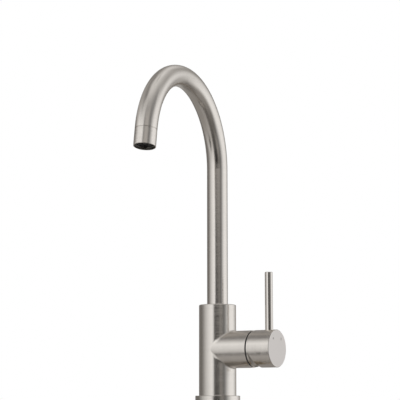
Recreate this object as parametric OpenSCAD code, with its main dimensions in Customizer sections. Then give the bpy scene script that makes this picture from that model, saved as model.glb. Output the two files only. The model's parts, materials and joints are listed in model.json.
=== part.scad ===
// Gooseneck bar faucet with a pin lever on a side port.
// Millimetres. The deck plane is z = 0, the barrel axis is Z, the port points along +X
// and the spout reaches towards -Y, turned a little towards the port.

/* [Base and deck] */
// Diameter of the base ring
base_d = 48; // [47:0.5:56]
// Height of the base ring
base_h = 6; // [5:0.5:10]
// Thickness of the deck that the faucet clamps
deck_t = 20; // [4:1:24]
// Outer diameter of the threaded shank
shank_d = 33; // [32:0.5:34]
// Wall of the threaded shank
shank_wall = 2.5; // [2:0.25:3]
// Length of the shank below the deck
shank_drop = 50; // [46:1:70]
// Depth of shank thread inside the barrel
shank_engage = 12; // [10:0.5:13]
// Diameter of the seal and washer under the deck
washer_d = 50; // [46:1:60]
// Width of the shank nut across its flats
nut_flats = 50; // [48:1:56]
// Height of the shank nut
nut_h = 9; // [8:0.5:10]

/* [Body] */
// Diameter of the upright barrel
barrel_d = 40; // [40:0.5:44]
// Height of the barrel above the base ring
barrel_h = 97; // [95:0.5:110]
// Height of the port axis above the base ring
port_h = 48.7; // [47:0.1:50]
// Diameter of the side port
port_d = 39.5; // [39.2:0.1:39.8]
// Distance from the barrel axis to the port's end
port_len = 44.5; // [43:0.5:50]
// Rounding of the barrel's top edge
rim_r = 1; // [0.5:0.1:1.5]
// Fillet in the corner between barrel and port
corner_r = 1.5; // [1:0.1:2]
// How much wider that fillet grows at the front and back, where the walls are nearly flush
corner_flare = 15; // [0:0.5:18]

/* [Spout] */
// Outer diameter of the spout tube
tube_d = 22.5; // [22:0.1:23]
// Wall of the spout tube
tube_wall = 1.2; // [1:0.1:1.5]
// Height above the base ring where the bend starts
bend_h = 245; // [200:1:280]
// Bend radius at the tube's centre line
bend_r = 85; // [70:0.5:95]
// Sweep of the bend in degrees
bend_sweep = 171; // [160:0.5:178]
// Turn of the spout towards the port, in degrees
spout_turn = 6.5; // [0:0.5:15]
// Depth of the spout socket in the barrel
socket_depth = 27; // [26:0.5:28]

/* [Outlet] */
// Length of the collar that holds the aerator
collar_len = 18; // [16:0.5:24]
// Wall of the collar round the aerator
collar_wall = 0.7; // [0.6:0.05:1]
// Distance from the rim to the face of the insert
insert_recess = 2.8; // [2:0.1:3.5]
// Number of spokes in the insert
spoke_count = 16; // [12:1:20]

/* [Cartridge] */
// Depth of the cartridge pocket in the port
pocket_depth = 32.5; // [32:0.1:33]
// Diameter of the cartridge housing
cartridge_d = 34.8; // [34.4:0.1:35]
// Thickness of each ceramic disc
disc_t = 3.2; // [2.8:0.1:3.4]
// Diameter of the turret's journal
turret_d = 22; // [21:0.2:22.4]
// Width of the spindle
spindle_w = 7; // [6.5:0.1:7.2]
// Lift of the lever in degrees
lever_lift = 25; // [20:1:26]

/* [Handle] */
// Diameter of the handle cap
cap_d = 39.5; // [39.2:0.1:40]
// Length of the handle cap
cap_len = 25; // [24:0.1:28]
// Gap between the port's end and the cap
cap_gap = 3.3; // [3.2:0.1:4]
// Wall of the cap's skirt
skirt_wall = 1; // [0.8:0.05:1.1]
// Diameter of the pin lever
pin_d = 8.3; // [7:0.1:9]
// Length of the pin lever above the cap
pin_reach = 61; // [45:1:75]
// Distance from the cap's face to the pin's axis
pin_inset = 9.5; // [9:0.5:11]

/* [Hidden] */
$fn = 96;

// Colours
brushed = [0.72, 0.70, 0.67];
polished = [0.78, 0.77, 0.75];
brass = [0.78, 0.62, 0.32];
black_rubber = [0.08, 0.08, 0.08];
white_plastic = [0.90, 0.90, 0.88];
blue_plastic = [0.30, 0.42, 0.58];
ceramic = [0.93, 0.92, 0.90];
black_plastic = [0.06, 0.06, 0.07];

// Clearances
slack = 0.3;      // between pieces that move past each other freely
film = 0.05;      // between faces and rings that run on each other
thread_gap = 0.05; // between a modelled thread and its hole
eps = 1;          // how far a cutting tool runs past the solid

// Main radii and heights
barrel_r = barrel_d / 2;
port_r = port_d / 2;
tube_r = tube_d / 2;
tube_in_r = tube_r - tube_wall;
shank_r = shank_d / 2;
axis_z = base_h + port_h;
barrel_top = base_h + barrel_h;
bend_z = base_h + bend_h;
socket_z = barrel_top - socket_depth;
edge = 0.4;       // small turned edge
fine_edge = 0.2;
port_thread_gap = 0.5; // how far the port's thread runs in past the housing's shoulder

// Rolling-ball fillet in the corner, set in by corner_bite to meet both walls at a clear angle
corner_bite = 0.06;
corner_root = 1;  // how far its tip runs into the walls
corner_steps = 64;
arc_steps = 6;
flare_power = 8; // the higher, the closer to front and back the fillet starts to grow

// Base seal, pressed flat between its groove and the deck
seal_line_r = 20.5;
seal_cord_r = 1.2;
seal_groove = 1.6;
groove_side = 0.2; // between a sealing ring and its groove's walls
ring_bore_gap = 0.5;
ring_bore_r = shank_r + ring_bore_gap;

// Stack under the deck, from the top down
gasket_t = 3;
washer_t = 2;
shank_chamfer = 1;
nut_gap = 2;
nut_corner = 2.5;  // how far the nut's corners stand out past its flats
nut_bevel = 2;
gasket_z = -deck_t - gasket_t;
washer_z = gasket_z - washer_t;
nut_z = washer_z - nut_gap - nut_h;
under_bore_gap = 0.4;
under_bore_r = shank_r + under_bore_gap;
clamp_r = 2.5;
clamp_head_r = 4;
clamp_head_h = 3.5;
clamp_line_r = (shank_r + nut_flats / 2) / 2;
clamp_gap = 3;    // between the nut and the screw's head
driver_slot_w = 1.2;
driver_slot_d = 1.5;

// Hose inlets and waterways in the body
hose_y = 7;
hose_r = 4.5;
hose_depth = 12;
way_r = 3;
inlet_drop = 4;
outlet_rise = 8;
outlet_way_r = 3.5;
shank_end_gap = 0.2;
ceiling_z = base_h + shank_engage + shank_end_gap;

// Cartridge along the port axis, from the pocket's floor outwards
pocket_gap = 0.2;
pocket_r = cartridge_d / 2 + pocket_gap;
port_line_r = 8;
inlet_port_w = 5;
inlet_port_turn = 62;
inlet_port_half = 16;
outlet_port_w = 6;
outlet_port_half = 20;
seal_depth = 1;
seal_w = 1.2;
seal_margin = 0.2;
thread_r = 18.2;
floor_x = port_len - pocket_depth;
face_seal_gap = 0.3;
base_x = floor_x + face_seal_gap;
base_flange = 3.5;
base_step = 2;
base_step_gap = 0.1;
housing_r = cartridge_d / 2;
housing_wall = 1.5;
cavity_r = housing_r - housing_wall;
fixed_x = base_x + base_flange + base_step;
fixed_disc_gap = 0.4;
moving_x = fixed_x + disc_t + film;
carrier_x = moving_x + disc_t;
carrier_t = 6;
carrier_gap = 0.75; // between the carrier's face and the turret
turret_x = carrier_x + carrier_t + carrier_gap;
flange_t = 3;
wall_x = turret_x + flange_t + 2 * film;
wall_t = 1.9;
shoulder_x = wall_x + wall_t;
pivot_out = 0.5;  // how far the lever's pivot lies past the shoulder
pivot_x = shoulder_x + pivot_out;
neck_wall = 2;
neck_r = turret_d / 2 + film + neck_wall;
neck_len = 8;
ring_nut_t = 5.5;
ring_nut_gap = 0.2;
bonnet_x = shoulder_x + ring_nut_t + ring_nut_gap;

// Moving inner pieces
turret_r = turret_d / 2;
turret_len = 17;
carrier_r = 12.5;
moving_r = 11.5;
disc_shift = 2;
rail_y = 8.7;
rail_w = 2.3;
rail_h = 2.4;
rail_len = 12;
ball_r = 2.4;
ball_arm = 8.3;
ball_neck_r = 1.6;
ball_room = ball_arm * sin(lever_lift) + ball_r + 2 * slack;
boss_r = 4.5;
ear_gap = 0.2;
boss_w = spindle_w + 1;
slot_w = boss_w + 2 * ear_gap;
hinge_r = 1.5;
hinge_gap = 0.02;

// Handle cap: the radius its mouth sweeps, the dome and the relief follow from the lever's pivot
cap_r = cap_d / 2;
skirt_r = cap_r - skirt_wall;
cap_x = port_len + cap_gap;
cap_face_x = cap_x + cap_len;
skirt_depth = 13;
cap_floor_x = cap_x + skirt_depth;
mouth_lip = 0.35;  // left of the skirt's wall where its mouth is turned out to clear the dome
dome_clearance = 0.45;
sweep_r = sqrt(pow(cap_x - pivot_x, 2) + pow(cap_r - mouth_lip, 2));
dome_r = sweep_r - dome_clearance;
dome_wall = 1.2;
dome_mouth_r = 13.2;
band_set_in = 0.75;
band_r = port_r - band_set_in;
bonnet_seal_t = 1.2;
band_x = port_len + bonnet_seal_t;
bonnet_neck_gap = 0.1;
bonnet_neck_r = thread_r - bonnet_neck_gap;
bonnet_bore_r = 17;
neck_run_in = 0.5; // how far the neck runs into the band
port_clearance = 0.5;
relief_drop = ((cap_x - pivot_x) * cos(lever_lift) - (port_len + port_clearance - pivot_x))
    / sin(lever_lift);
pin_x = cap_face_x - pin_inset;
pin_seat_depth = 1.35;
pin_seat = cap_r - pin_seat_depth;
pin_seat_gap = 0.15;
pin_thread_r = 3;
stem_cover = 5.3; // metal of the cap in front of the spindle
stem_end_x = cap_face_x - stem_cover;
stem_end_gap = 0.2;
grub_len = 4;

// Outlet
collar_r = tube_r;
cup_r = collar_r - collar_wall;
shelf = 3;
throat_r = 8;
seam_w = 0.35;    // shadow line between tube and collar
seam_d = 0.6;
spigot_len = 6;
spigot_end_gap = 0.3;
// The seat in the tube is straight and the tube is bent, so the seat is wider by the bend's drift
outlet_bore_r = tube_in_r + pow(spigot_len + spigot_end_gap, 2) / (2 * bend_r) + film;
insert_gap = 0.2;
insert_r = cup_r - insert_gap;
washer_h = 1.5;
regulator_h = 1.5;
screen_h = 0.6;
regulator_w = shelf + washer_h;
screen_w = regulator_w + regulator_h;
insert_w = screen_w + screen_h;
insert_len = collar_len - insert_recess - insert_w;

// Spout bush
thrust_t = 1.5;
bush_len = 18;
bush_z = socket_z + thrust_t;
bush_top = bush_z + bush_len;
glide_t = 2.8;
glide_drop = 2;
glide_z = barrel_top - glide_drop - glide_t;
glide_w = 1.5;
glide_r = tube_r + glide_w;
glide_split = 2;
lock_rise = 3.5;
lock_z = bush_z + lock_rise;
lock_groove_w = 3.2;
lock_groove_r = 9.6;
lock_r = 2.5;
lock_tip_r = 1.2;
ring_cord_r = 0.95;
ring_line_r = tube_r + slack - film - ring_cord_r;
ring_groove_r = ring_line_r - ring_cord_r - film;
ring_rise = 8;
ring_pitch = 5;
ring_heights = [bush_z + ring_rise, bush_z + ring_rise + ring_pitch];

// ---- placing ----

// Local z runs out along the port axis, local -x points up
module on_port(x = 0) {
    translate([x, 0, axis_z]) rotate([0, 90, 0]) children();
}

// The plane of the gooseneck
module in_spout() {
    rotate([0, 0, spout_turn]) children();
}

// The end of the bend, where local z runs with the water
module past_bend() {
    translate([0, -bend_r, bend_z]) rotate([bend_sweep, 0, 0]) translate([0, bend_r, 0]) children();
}

module at_outlet(w = 0) {
    in_spout() past_bend() translate([0, 0, w]) children();
}

// ---- shared shapes ----

module ring(r_out, r_in, h) {
    difference() {
        cylinder(h = h, r = r_out);
        translate([0, 0, -eps]) cylinder(h = h + 2 * eps, r = r_in);
    }
}

// A turned bar whose two ends have small chamfers
module turned(r, h, c0, c1) {
    rotate_extrude() polygon([[0, 0], [r - c0, 0], [r, c0], [r, h - c1], [r - c1, h], [0, h]]);
}

// A curved slot of even width with round ends, about local z
module kidney(line_r, width, half_angle, h) {
    rotate([0, 0, -half_angle]) rotate_extrude(angle = 2 * half_angle)
        translate([line_r - width / 2, 0]) square([width, h]);
    for (a = [-half_angle, half_angle])
        rotate([0, 0, a]) translate([line_r, 0, 0]) cylinder(h = h, d = width);
}

// Water holes of the cartridge: two inlets below the axis and one outlet above it
module water_ports(h) {
    for (side = [-1, 1])
        rotate([0, 0, side * inlet_port_turn]) kidney(port_line_r, inlet_port_w, inlet_port_half, h);
    rotate([0, 0, 180]) kidney(port_line_r, outlet_port_w, outlet_port_half, h);
}

// ---- tap body ----

// A ball that rolls in the corner of barrel and port and swells towards the front and back:
// its radius and its centre, at angle u round the port
function fillet_r(u) = corner_r + corner_flare * pow(sin(u), flare_power);
function ball_at(u) = let (r = fillet_r(u) - corner_bite, y = (port_r + r) * sin(u))
    [sqrt(pow(barrel_r + r, 2) - y * y), y, (port_r + r) * cos(u)];
function unit(v) = v / norm(v);
function to_barrel(c) = unit([-c[0], -c[1], 0]);
function to_port(c) = unit([0, -c[1], -c[2]]);
function corner_section(u) = let (
        c = ball_at(u), r = fillet_r(u), b = to_barrel(c), p = to_port(c),
        w = acos(b * p), mid = unit(b + p))
    concat(
        [for (i = [0 : arc_steps]) let (t = i / arc_steps)
            c + r * (sin((1 - t) * w) * b + sin(t * w) * p) / sin(w)],
        [c + (r / cos(w / 2) + corner_root) * mid]);

module corner_fillet() {
    n = arc_steps + 2;
    points = [for (k = [0 : corner_steps - 1]) each corner_section(k * 360 / corner_steps)];
    faces = [for (k = [0 : corner_steps - 1], i = [0 : n - 1])
        let (k1 = (k + 1) % corner_steps, i1 = (i + 1) % n)
        each [[k * n + i, k1 * n + i, k * n + i1], [k1 * n + i, k1 * n + i1, k * n + i1]]];
    translate([0, 0, axis_z]) polyhedron(points, faces);
}

module barrel_solid() {
    translate([0, 0, base_h]) rotate_extrude() union() {
        square([barrel_r, barrel_h - rim_r]);
        square([barrel_r - rim_r, barrel_h]);
        translate([barrel_r - rim_r, barrel_h - rim_r]) circle(rim_r);
    }
}

module waterways() {
    for (side = [-1, 1]) {
        translate([0, side * hose_y, ceiling_z - eps]) cylinder(h = hose_depth + eps, r = hose_r);
        translate([0, side * hose_y, ceiling_z])
            cylinder(h = axis_z - inlet_drop - ceiling_z, r = way_r);
        translate([0, side * hose_y, -inlet_drop]) on_port() cylinder(h = floor_x + eps, r = way_r);
    }
    translate([0, 0, axis_z + outlet_rise])
        cylinder(h = socket_z - axis_z - outlet_rise + eps, r = outlet_way_r);
    translate([0, 0, outlet_rise]) on_port() cylinder(h = floor_x + eps, r = outlet_way_r);
}

module tap_body() {
    color(brushed) difference() {
        union() {
            barrel_solid();
            on_port() turned(port_r, port_len, edge, fine_edge);
            corner_fillet();
        }
        // spout socket, its glide ring's groove and the lock screw's hole
        translate([0, 0, socket_z]) cylinder(h = socket_depth + eps, r = tube_r + slack);
        translate([0, 0, glide_z]) cylinder(h = glide_t, r = glide_r);
        translate([0, tube_r - eps, lock_z]) rotate([-90, 0, 0])
            cylinder(h = barrel_r, r = lock_r);
        // cartridge pocket and its thread
        on_port(floor_x) cylinder(h = pocket_depth + eps, r = pocket_r);
        on_port(shoulder_x - port_thread_gap) cylinder(h = port_len, r = thread_r);
        waterways();
        // shank thread
        translate([0, 0, base_h - eps])
            cylinder(h = ceiling_z - base_h + eps, r = shank_r + thread_gap);
    }
}

// ---- base and fixings ----

module base_ring() {
    color(brushed) difference() {
        turned(base_d / 2, base_h, edge, edge);
        translate([0, 0, -eps]) cylinder(h = base_h + 2 * eps, r = ring_bore_r);
        translate([0, 0, -eps]) ring(seal_line_r + seal_cord_r + groove_side,
            seal_line_r - seal_cord_r - groove_side, seal_groove + eps);
    }
}

module base_seal() {
    color(black_rubber) rotate_extrude() intersection() {
        translate([seal_line_r, seal_groove / 2]) circle(seal_cord_r);
        translate([seal_line_r - seal_cord_r, 0]) square([2 * seal_cord_r, seal_groove]);
    }
}

module mounting_shank() {
    color(brass) translate([0, 0, -shank_drop])
        difference() {
            turned(shank_r, shank_drop + base_h + shank_engage, shank_chamfer, shank_chamfer);
            translate([0, 0, -eps])
                cylinder(h = shank_drop + base_h + shank_engage + 2 * eps, r = shank_r - shank_wall);
        }
}

module deck_gasket() {
    color(black_rubber) translate([0, 0, gasket_z]) ring(washer_d / 2, under_bore_r, gasket_t);
}

module deck_washer() {
    color(polished) translate([0, 0, washer_z]) ring(washer_d / 2, under_bore_r, washer_t);
}

module clamp_places() {
    for (a = [0, 180]) rotate([0, 0, a]) translate([clamp_line_r, 0, 0]) children();
}

module shank_nut() {
    color(brass) translate([0, 0, nut_z]) difference() {
        intersection() {
            cylinder(h = nut_h, d = nut_flats / cos(30), $fn = 6);
            turned(nut_flats / 2 + nut_corner, nut_h, nut_bevel, nut_bevel);
        }
        translate([0, 0, -eps]) cylinder(h = nut_h + 2 * eps, r = shank_r + thread_gap);
        clamp_places() translate([0, 0, -eps]) cylinder(h = nut_h + 2 * eps, r = clamp_r + thread_gap);
    }
}

// Two screws in the nut, which press the washer up
module clamp_screws() {
    head_z = nut_z - clamp_gap;
    color(polished) clamp_places() difference() {
        union() {
            translate([0, 0, head_z]) cylinder(h = washer_z - head_z, r = clamp_r);
            translate([0, 0, head_z - clamp_head_h]) turned(clamp_head_r, clamp_head_h, edge, edge);
        }
        translate([-driver_slot_w / 2, -clamp_head_r - eps, head_z - clamp_head_h - eps])
            cube([driver_slot_w, 2 * clamp_head_r + 2 * eps, driver_slot_d + eps]);
    }
}

// ---- spout seat ----

// Its tip runs in the bush's groove, so the spout turns but doesn't lift
module spout_lock_screw() {
    tip_y = lock_groove_r + 0.8;
    shoulder_y = tube_r + slack + 0.4;
    head_y = barrel_r - 1;
    key_depth = 2.5;
    key_r = 1.45;
    color(polished) translate([0, 0, lock_z]) rotate([-90, 0, 0]) difference() {
        union() {
            translate([0, 0, tip_y]) cylinder(h = shoulder_y - tip_y + eps, r = lock_tip_r);
            translate([0, 0, shoulder_y]) cylinder(h = head_y - shoulder_y, r = lock_r - thread_gap);
        }
        translate([0, 0, head_y - key_depth]) cylinder(h = key_depth + eps, r = key_r, $fn = 6);
    }
}

// Split, so that it springs into its groove
module glide_ring() {
    color(white_plastic) translate([0, 0, glide_z + film]) difference() {
        ring(glide_r - film, tube_r + film, glide_t - 2 * film);
        translate([0, -glide_split / 2, -eps]) cube([glide_r + eps, glide_split, glide_t + 2 * eps]);
    }
}

module thrust_washer() {
    bore_r = 8;
    color(white_plastic) translate([0, 0, socket_z])
        ring(tube_r + slack / 2, bore_r, thrust_t - film);
}

// ---- cartridge ----

module cartridge_base() {
    color(white_plastic) on_port(base_x) difference() {
        union() {
            cylinder(h = base_flange, r = housing_r);
            cylinder(h = base_flange + base_step, r = cavity_r - base_step_gap);
        }
        translate([0, 0, -eps]) water_ports(base_flange + base_step + 2 * eps);
        translate([0, 0, -eps]) seal_bands(seal_depth + eps);
    }
}

// A flat band round a water hole, seal_margin clear of its edge
module seal_band(hole_w, half_angle, h) {
    inner_w = hole_w + 2 * seal_margin;
    difference() {
        kidney(port_line_r, inner_w + 2 * seal_w, half_angle, h);
        translate([0, 0, -eps]) kidney(port_line_r, inner_w, half_angle, h + 2 * eps);
    }
}

module seal_bands(h) {
    for (side = [-1, 1])
        rotate([0, 0, side * inlet_port_turn]) seal_band(inlet_port_w, inlet_port_half, h);
    rotate([0, 0, 180]) seal_band(outlet_port_w, outlet_port_half, h);
}

module cartridge_seals() {
    color(black_rubber) on_port(floor_x) seal_bands(face_seal_gap + seal_depth);
}

module fixed_disc() {
    color(ceramic) on_port(fixed_x) difference() {
        cylinder(h = disc_t, r = cavity_r - fixed_disc_gap);
        translate([0, 0, -eps]) water_ports(disc_t + 2 * eps);
    }
}

module cartridge_housing() {
    rear_x = base_x + base_flange;
    color(blue_plastic) on_port(rear_x) difference() {
        union() {
            cylinder(h = shoulder_x - rear_x, r = housing_r);
            cylinder(h = shoulder_x - rear_x + neck_len, r = neck_r);
        }
        translate([0, 0, -eps]) cylinder(h = wall_x - rear_x + eps, r = cavity_r);
        cylinder(h = shoulder_x - rear_x + neck_len + eps, r = turret_r + film);
    }
}

module cartridge_nut() {
    notch_w = 3;
    notch_d = 2;
    notch_len = 4;
    color(brass) on_port(shoulder_x) difference() {
        turned(thread_r - thread_gap, ring_nut_t, edge, edge);
        translate([0, 0, -eps]) cylinder(h = ring_nut_t + 2 * eps, r = neck_r + slack);
        for (a = [0 : 60 : 300]) rotate([0, 0, a])
            translate([neck_r, -notch_w / 2, ring_nut_t - notch_d]) cube([notch_len, notch_w, notch_d + eps]);
    }
}

// The dome is a part of a ball about the lever's pivot, turned in one piece with its band and neck
module bonnet() {
    neck_len = band_x - bonnet_x;
    color(brushed) on_port(pivot_x) rotate_extrude() difference() {
        union() {
            translate([0, bonnet_x - pivot_x]) square([bonnet_neck_r, neck_len + neck_run_in]);
            intersection() {
                translate([0, band_x - pivot_x]) square([band_r, dome_r]);
                circle(dome_r);
            }
        }
        translate([0, -dome_r]) square([dome_mouth_r, 3 * dome_r]);
        translate([0, bonnet_x - pivot_x - eps]) square([bonnet_bore_r, neck_len + eps + neck_run_in + 0.1]);
        circle(dome_r - dome_wall);
    }
}

module bonnet_seal() {
    color(black_rubber) on_port(port_len)
        ring(band_r - slack, bonnet_neck_r + film, bonnet_seal_t);
}

// The slot lets the spindle swing from level to the full lift
module turret() {
    front = pivot_x - boss_r - slack - turret_x;
    slot_top = boss_r + slack;
    color(white_plastic) difference() {
        on_port(turret_x) union() {
            cylinder(h = flange_t, r = cavity_r - slack);
            cylinder(h = turret_len, r = turret_r);
        }
        translate([turret_x + front, -slot_w / 2, axis_z - turret_r - eps])
            cube([turret_len, slot_w, turret_r + eps + slot_top]);
        translate([turret_x - eps, -slot_w / 2, axis_z - slot_top])
            cube([pivot_x - turret_x, slot_w, slot_top + ball_room]);
        // grooves for the carrier's rails
        for (side = [-1, 1])
            translate([turret_x - eps, side * (rail_y + rail_w / 2) - rail_w / 2 - slack,
                    axis_z - cavity_r])
                cube([rail_h + eps - slack, rail_w + 2 * slack, 2 * cavity_r]);
        translate([pivot_x, 0, axis_z]) rotate([90, 0, 0])
            cylinder(h = 2 * turret_r + 2 * eps, r = hinge_r + hinge_gap, center = true);
    }
}

module spindle_pin() {
    end_set_in = 0.5;
    color(polished) translate([pivot_x, 0, axis_z]) rotate([90, 0, 0])
        cylinder(h = 2 * (turret_r - end_set_in), r = hinge_r, center = true);
}

module disc_carrier() {
    color(blue_plastic) translate([0, 0, -disc_shift]) difference() {
        union() {
            on_port(carrier_x) cylinder(h = carrier_t, r = carrier_r);
            for (side = [-1, 1])
                translate([carrier_x + carrier_t - eps, side * (rail_y + rail_w / 2) - rail_w / 2,
                        axis_z - rail_len / 2])
                    cube([rail_h + eps, rail_w, rail_len]);
        }
        on_port(pivot_x - ball_arm - ball_r - slack) translate([-disc_shift, 0, 0])
            cylinder(h = carrier_t + eps, r = ball_r + slack);
    }
}

// The hollow on the disc's face joins the inlets to the outlet
module moving_disc() {
    hollow = 1.4;
    hollow_r = 6.5;
    color(ceramic) translate([0, 0, -disc_shift]) on_port(moving_x) difference() {
        cylinder(h = disc_t, r = moving_r);
        translate([0, 0, -eps]) cylinder(h = hollow + eps, r = hollow_r);
    }
}

// ---- lever ----

module spindle() {
    half = spindle_w / 2;
    color(polished) difference() {
        union() {
            translate([pivot_x, -half, axis_z - half])
                cube([stem_end_x - pivot_x, spindle_w, spindle_w]);
            translate([pivot_x, 0, axis_z]) rotate([90, 0, 0])
                cylinder(h = boss_w, r = boss_r, center = true);
            on_port(pivot_x - ball_arm) cylinder(h = ball_arm, r = ball_neck_r);
            translate([pivot_x - ball_arm, 0, axis_z]) sphere(ball_r);
        }
        translate([pivot_x, 0, axis_z]) rotate([90, 0, 0])
            cylinder(h = boss_w + 2 * eps, r = hinge_r + film, center = true);
    }
}

module handle_cap() {
    hub_r = 7.5;
    hub_len = 2.2;
    socket = spindle_w + 2 * film;
    cut = 3 * cap_d;
    color(brushed) difference() {
        union() {
            difference() {
                on_port(cap_x) turned(cap_r, cap_len, fine_edge, edge);
                on_port(cap_x - eps) cylinder(h = skirt_depth + eps, r = skirt_r);
                on_port(pivot_x) sphere(sweep_r);
            }
            on_port(cap_floor_x - hub_len) cylinder(h = hub_len + eps, r = hub_r);
        }
        // slanted relief that clears the port when the lever is lifted
        translate([cap_x, 0, axis_z - relief_drop]) rotate([0, -lever_lift, 0])
            translate([-cut, -cut / 2, -cut]) cube(cut);
        // square socket for the spindle
        translate([cap_floor_x - hub_len - eps, -socket / 2, axis_z - socket / 2])
            cube([stem_end_x + stem_end_gap - cap_floor_x + hub_len + eps, socket, socket]);
        // screw hole and seat for the pin
        translate([pin_x, 0, axis_z]) cylinder(h = cap_r + eps, r = pin_thread_r);
        translate([pin_x, 0, axis_z + pin_seat]) cylinder(h = cap_r, r = pin_d / 2 + pin_seat_gap);
    }
}

// Clamps the cap on the spindle, under the pin
module handle_grub_screw() {
    key_depth = 2.2;
    key_r = 1.7;
    color(polished) translate([pin_x, 0, axis_z + spindle_w / 2]) difference() {
        cylinder(h = grub_len, r = pin_thread_r - thread_gap);
        translate([0, 0, grub_len - key_depth]) cylinder(h = key_depth + eps, r = key_r, $fn = 6);
    }
}

module pin_lever() {
    thread_end_gap = 0.6;
    top_edge = 0.5;
    thread_len = pin_seat - spindle_w / 2 - grub_len - thread_end_gap;
    top = cap_r + pin_reach;
    color(brushed) translate([pin_x, 0, axis_z]) union() {
        translate([0, 0, pin_seat]) turned(pin_d / 2, top - pin_seat, edge, top_edge);
        translate([0, 0, pin_seat - thread_len])
            cylinder(h = thread_len + eps, r = pin_thread_r - thread_gap);
    }
}

// ---- spout ----

// The gooseneck's centre line as a solid of radius r, which starts at height z0
// and runs run_on degrees past the bend's end
module gooseneck(r, z0, run_on) {
    translate([0, 0, z0]) cylinder(h = bend_z - z0, r = r);
    translate([0, -bend_r, bend_z]) rotate([90, 0, 90])
        rotate_extrude(angle = bend_sweep + run_on) translate([bend_r, 0]) circle(r);
}

module spout_tube() {
    color(brushed) in_spout() difference() {
        gooseneck(tube_r, bush_top, 0);
        gooseneck(tube_in_r, bush_top - eps, 1);
        past_bend() translate([0, 0, -spigot_len - spigot_end_gap])
            cylinder(h = spigot_len + spigot_end_gap + eps, r = outlet_bore_r);
    }
}

module spout_bush() {
    spigot = 10;
    bore_r = 7.5;
    color(brass) difference() {
        translate([0, 0, bush_z]) union() {
            turned(tube_r, bush_len, edge, fine_edge);
            cylinder(h = bush_len + spigot, r = tube_in_r - film);
        }
        translate([0, 0, bush_z - eps]) cylinder(h = bush_len + spigot + 2 * eps, r = bore_r);
        translate([0, 0, lock_z - lock_groove_w / 2]) ring(tube_r + eps, lock_groove_r, lock_groove_w);
        for (z = ring_heights)
            translate([0, 0, z - ring_cord_r - groove_side / 2])
                ring(tube_r + eps, ring_groove_r, 2 * ring_cord_r + groove_side);
    }
}

module spout_o_rings() {
    color(black_rubber) for (z = ring_heights)
        translate([0, 0, z]) rotate_extrude() translate([ring_line_r, 0]) circle(ring_cord_r);
}

// ---- outlet ----

// Round holes, evenly spaced on a circle, for a plate of thickness h
module hole_circle(count, line_r, hole_r, h, start = 0) {
    for (k = [0 : count - 1]) rotate([0, 0, start + k * 360 / count])
        translate([line_r, 0, -eps]) cylinder(h = h + 2 * eps, r = hole_r);
}

module aerator_collar() {
    color(brushed) at_outlet() difference() {
        union() {
            translate([0, 0, seam_w]) turned(collar_r, collar_len - seam_w, fine_edge, fine_edge);
            cylinder(h = seam_w + eps, r = collar_r - seam_d);
            translate([0, 0, -spigot_len]) cylinder(h = spigot_len + eps, r = outlet_bore_r - film);
        }
        translate([0, 0, -spigot_len - eps]) cylinder(h = spigot_len + collar_len, r = throat_r);
        translate([0, 0, shelf]) cylinder(h = collar_len, r = cup_r);
    }
}

module aerator_washer() {
    color(black_rubber) at_outlet(shelf) ring(insert_r, throat_r, washer_h);
}

module flow_regulator() {
    outer_line_r = 6.5;
    outer_hole_r = 0.9;
    inner_line_r = 3.4;
    inner_hole_r = 0.8;
    color(blue_plastic) at_outlet(regulator_w) difference() {
        cylinder(h = regulator_h, r = insert_r);
        hole_circle(12, outer_line_r, outer_hole_r, regulator_h);
        hole_circle(6, inner_line_r, inner_hole_r, regulator_h);
    }
}

// Two crossed layers of wire in a thin rim
module aerator_screen() {
    pitch = 2;
    wire = 0.3;
    rim = 1;
    last = floor((insert_r - rim) / pitch);
    color(polished) at_outlet(screen_w) union() {
        ring(insert_r, insert_r - rim, screen_h);
        intersection() {
            cylinder(h = screen_h, r = insert_r - rim / 2);
            union() {
                for (k = [-last : last]) {
                    translate([-insert_r, k * pitch - wire / 2, 0])
                        cube([2 * insert_r, wire, screen_h / 2]);
                    translate([k * pitch - wire / 2, -insert_r, screen_h / 2])
                        cube([wire, 2 * insert_r, screen_h / 2]);
                }
            }
        }
    }
}

// Black insert: wall, two inner rings, a hub and spokes over a perforated floor
module aerator_insert() {
    wall = 1.1;
    ring_lines = [7.2, 4.6];
    ring_half = 0.5;
    ring_set_in = 0.4;
    hub_r = 2;
    spoke_t = 0.6;
    spoke_set_in = 0.8;
    floor_t = 1.2;
    hole_r = 0.5;
    hole_margin = 0.1;
    hole_line_r = insert_r - wall - hole_r - hole_margin;
    color(black_plastic) at_outlet(insert_w) union() {
        ring(insert_r, insert_r - wall, insert_len);
        cylinder(h = insert_len, r = hub_r);
        for (r = ring_lines) ring(r + ring_half, r - ring_half, insert_len - ring_set_in);
        difference() {
            cylinder(h = floor_t, r = insert_r - wall / 2);
            hole_circle(spoke_count, hole_line_r, hole_r, floor_t, 180 / spoke_count);
        }
        for (k = [0 : spoke_count - 1]) rotate([0, 0, k * 360 / spoke_count])
            translate([hub_r / 2, -spoke_t / 2, 0])
                cube([insert_r - hub_r / 2 - wall / 2, spoke_t, insert_len - spoke_set_in]);
    }
}

tap_body();
base_ring();
base_seal();
mounting_shank();
deck_gasket();
deck_washer();
shank_nut();
clamp_screws();
spout_lock_screw();
glide_ring();
thrust_washer();
cartridge_base();
cartridge_seals();
fixed_disc();
cartridge_housing();
cartridge_nut();
bonnet();
bonnet_seal();
turret();
spindle_pin();
disc_carrier();
moving_disc();
spindle();
handle_cap();
handle_grub_screw();
pin_lever();
spout_tube();
spout_bush();
spout_o_rings();
aerator_collar();
aerator_washer();
flow_regulator();
aerator_screen();
aerator_insert();
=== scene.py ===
"""Gooseneck bar faucet: finishes, screw threads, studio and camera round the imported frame."""

import json
import math

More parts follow.
